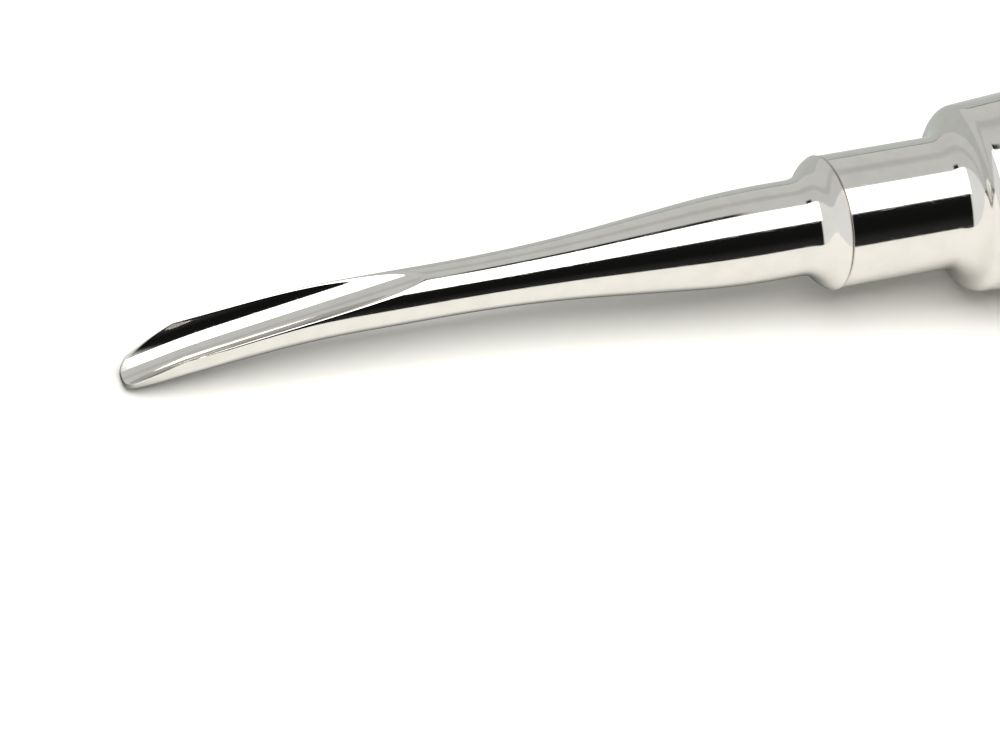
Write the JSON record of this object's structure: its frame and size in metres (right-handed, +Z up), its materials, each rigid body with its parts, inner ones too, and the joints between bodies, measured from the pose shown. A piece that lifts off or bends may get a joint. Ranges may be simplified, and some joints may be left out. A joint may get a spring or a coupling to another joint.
{
  "type": "dental elevator",
  "caption": "Straight dental elevator with a half round gouge blade, a swelling shank, a rounded flange and a pear shaped handle with soft flats.",
  "frame": {"origin": "on the table, under the middle of the instrument's bounding box, as it lies at rest", "axes": "+Z up from the table, -X towards the tip of the blade and +X towards the handle's round end, with the instrument in the XZ plane and the concave face of the blade up"},
  "size_m": [0.1346, 0.0186, 0.0185],
  "materials": {
    "blade_steel": "mirror polished stainless steel, with faint grinding marks along the concave face",
    "handle_steel": "mirror polished stainless steel"
  },
  "bodies": {
    "root": {"blade_and_shank": "blade_steel", "handle": "handle_steel"}
  },
  "joints": []
}
